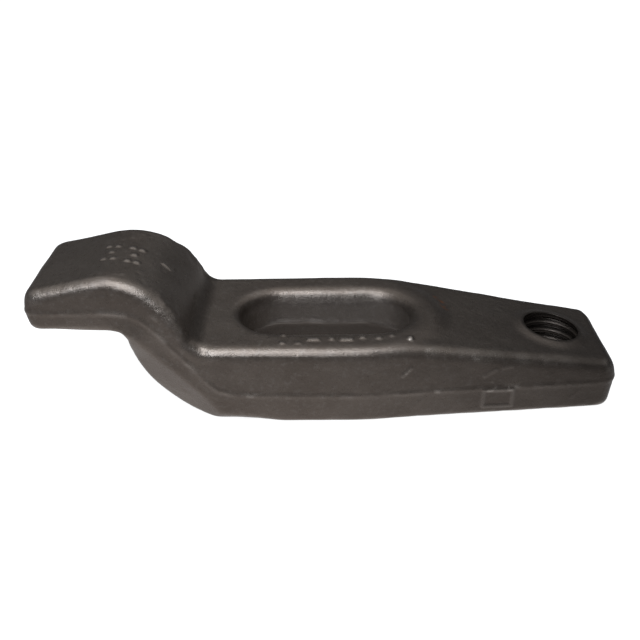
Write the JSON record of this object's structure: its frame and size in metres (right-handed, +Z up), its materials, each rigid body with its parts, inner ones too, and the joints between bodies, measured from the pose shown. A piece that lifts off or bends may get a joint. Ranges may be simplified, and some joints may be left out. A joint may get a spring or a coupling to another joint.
{
  "type": "gooseneck strap clamp",
  "caption": "Drop-forged gooseneck strap clamp with a raised toe, a slotted body for a hold-down stud and a tapped heel for a levelling screw.",
  "frame": {"origin": "under the middle of the forging's length and width, on its base plane", "axes": "+X along the clamp from the toe to the heel, +Y across it, +Z up from the base to the washer pad"},
  "size_m": [0.1386, 0.0382, 0.0363],
  "materials": {
    "forged_steel": "dark brown-grey forging scale, satin, worn brighter on the rounded edges"
  },
  "bodies": {
    "root": {"clamp_body": "forged_steel"}
  },
  "joints": []
}
